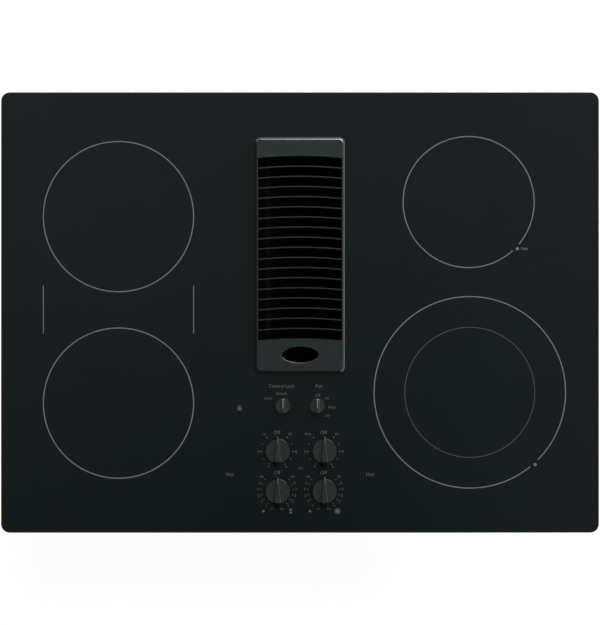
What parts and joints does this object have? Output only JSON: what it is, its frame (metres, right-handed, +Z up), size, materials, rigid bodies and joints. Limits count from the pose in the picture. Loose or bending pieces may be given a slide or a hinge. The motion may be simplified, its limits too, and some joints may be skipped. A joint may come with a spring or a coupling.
{
  "type": "downdraft cooktop",
  "caption": "Drop-in black glass electric cooktop with radiant zones, push-to-turn knobs, a louvred centre vent grille and an under-counter blower with a round duct collar.",
  "frame": {"origin": "centre of the glass on the counter plane, the underside of the rim gasket", "axes": "+X to the cook's right, +Y to the back, +Z up"},
  "size_m": [0.7556, 0.5566, 0.4607],
  "materials": {
    "black_glass": "polished",
    "gasket_rubber": "matte",
    "zinc_steel": "satin",
    "bright_steel": "satin",
    "grille_paint": "satin",
    "chamber_enamel": "satin",
    "filter_aluminium": "satin",
    "insulation": "matte",
    "heater_alloy": "satin",
    "white_ceramic": "matte",
    "switch_plastic": "matte",
    "terminal_brass": "satin",
    "sleeve_nylon": "matte",
    "knob_plastic": "satin",
    "lamp_red": "gloss",
    "motor_paint": "satin"
  },
  "bodies": {
    "cooktop": {"glass_top": "black_glass", "rim_gasket": "gasket_rubber", "support_frame": "zinc_steel", "burner_box": "zinc_steel", "case_screws": "bright_steel", "vent_chamber": "chamber_enamel", "left_dish": "bright_steel", "left_insulation": "insulation", "left_ribbons": "heater_alloy", "left_limiters": "white_ceramic", "right_rear_dish": "bright_steel", "right_rear_insulation": "insulation", "right_rear_ribbon": "heater_alloy", "right_rear_limiter": "white_ceramic", "right_front_dish": "bright_steel", "right_front_insulation": "insulation", "right_front_ribbons": "heater_alloy", "right_front_limiter": "white_ceramic", "element_rails": "zinc_steel", "control_bracket": "zinc_steel", "fan_switch": "switch_plastic", "lock_switch": "switch_plastic", "switch_terminals": "terminal_brass", "indicator_lamps": "lamp_red", "junction_box": "zinc_steel", "junction_cover": "zinc_steel", "terminal_block": "switch_plastic", "scroll_housing": "zinc_steel", "inlet_plate": "zinc_steel", "motor": "motor_paint", "motor_bracket": "zinc_steel", "outlet_collar": "zinc_steel", "hold_down_brackets": "zinc_steel", "left_rear_switch": "switch_plastic", "left_front_switch": "switch_plastic", "right_rear_switch": "switch_plastic", "right_front_switch": "switch_plastic"},
    "grille": {"vent_grille": "grille_paint"},
    "filter": {"filter_frame": "chamber_enamel", "filter_mesh": "filter_aluminium"},
    "blower_rotor": {"blower_wheel": "zinc_steel", "motor_shaft": "bright_steel"},
    "left_clamp": {"left_clamp_screw": "bright_steel"},
    "right_clamp": {"right_clamp_screw": "bright_steel"},
    "fan_dial": {"fan_shaft": "bright_steel", "fan_knob": "knob_plastic"},
    "lock_dial": {"lock_shaft": "bright_steel", "lock_knob": "knob_plastic"},
    "left_rear_push": {"left_rear_sleeve": "sleeve_nylon"},
    "left_rear_dial": {"left_rear_shaft": "bright_steel", "left_rear_knob": "knob_plastic"},
    "left_front_push": {"left_front_sleeve": "sleeve_nylon"},
    "left_front_dial": {"left_front_shaft": "bright_steel", "left_front_knob": "knob_plastic"},
    "right_rear_push": {"right_rear_sleeve": "sleeve_nylon"},
    "right_rear_dial": {"right_rear_shaft": "bright_steel", "right_rear_knob": "knob_plastic"},
    "right_front_push": {"right_front_sleeve": "sleeve_nylon"},
    "right_front_dial": {"right_front_shaft": "bright_steel", "right_front_knob": "knob_plastic"}
  },
  "joints": [
    {"name": "grille_lift", "type": "slide", "parent": "cooktop", "child": "grille", "axis": [0, 0, 1], "range_m": [0, 0.25]},
    {"name": "filter_lift", "type": "slide", "parent": "cooktop", "child": "filter", "axis": [0, 0, 1], "range_m": [0, 0.2]},
    {"name": "blower_spin", "type": "hinge", "parent": "cooktop", "child": "blower_rotor", "pos_m": [0, 0.035, -0.1992], "axis": [1, 0, 0], "continuous": true},
    {"name": "left_clamp_travel", "type": "slide", "parent": "cooktop", "child": "left_clamp", "axis": [0, 0, 1], "range_m": [-0.02, 0.02]},
    {"name": "right_clamp_travel", "type": "slide", "parent": "cooktop", "child": "right_clamp", "axis": [0, 0, 1], "range_m": [-0.02, 0.02]},
    {"name": "left_rear_push_in", "type": "slide", "parent": "cooktop", "child": "left_rear_push", "axis": [0, 0, -1], "range_m": [0, 0.003], "stiffness_N_per_m": 800, "springref_m": -0.003},
    {"name": "left_rear_turn", "type": "hinge", "parent": "left_rear_push", "child": "left_rear_dial", "pos_m": [-0.028, -0.1749, 0.011], "axis": [0, 0, 1], "continuous": true},
    {"name": "left_front_push_in", "type": "slide", "parent": "cooktop", "child": "left_front_push", "axis": [0, 0, -1], "range_m": [0, 0.003], "stiffness_N_per_m": 800, "springref_m": -0.003},
    {"name": "left_front_turn", "type": "hinge", "parent": "left_front_push", "child": "left_front_dial", "pos_m": [-0.028, -0.2257, 0.011], "axis": [0, 0, 1], "range_deg": [-170, 170]},
    {"name": "right_rear_push_in", "type": "slide", "parent": "cooktop", "child": "right_rear_push", "axis": [0, 0, -1], "range_m": [0, 0.003], "stiffness_N_per_m": 800, "springref_m": -0.003},
    {"name": "right_rear_turn", "type": "hinge", "parent": "right_rear_push", "child": "right_rear_dial", "pos_m": [0.0309, -0.1749, 0.011], "axis": [0, 0, 1], "continuous": true},
    {"name": "right_front_push_in", "type": "slide", "parent": "cooktop", "child": "right_front_push", "axis": [0, 0, -1], "range_m": [0, 0.003], "stiffness_N_per_m": 800, "springref_m": -0.003},
    {"name": "right_front_turn", "type": "hinge", "parent": "right_front_push", "child": "right_front_dial", "pos_m": [0.0309, -0.2257, 0.011], "axis": [0, 0, 1], "range_deg": [-170, 170]},
    {"name": "fan_turn", "type": "hinge", "parent": "cooktop", "child": "fan_dial", "pos_m": [0.0221, -0.11764, 0.008], "axis": [0, 0, 1], "range_deg": [-135, 0]},
    {"name": "lock_turn", "type": "hinge", "parent": "cooktop", "child": "lock_dial", "pos_m": [-0.0214, -0.11764, 0.008], "axis": [0, 0, 1], "range_deg": [0, 60]}
  ],
  "couplings": [
    {"joint": "filter_lift", "follows": "grille_lift", "ratio": 0.8}
  ]
}
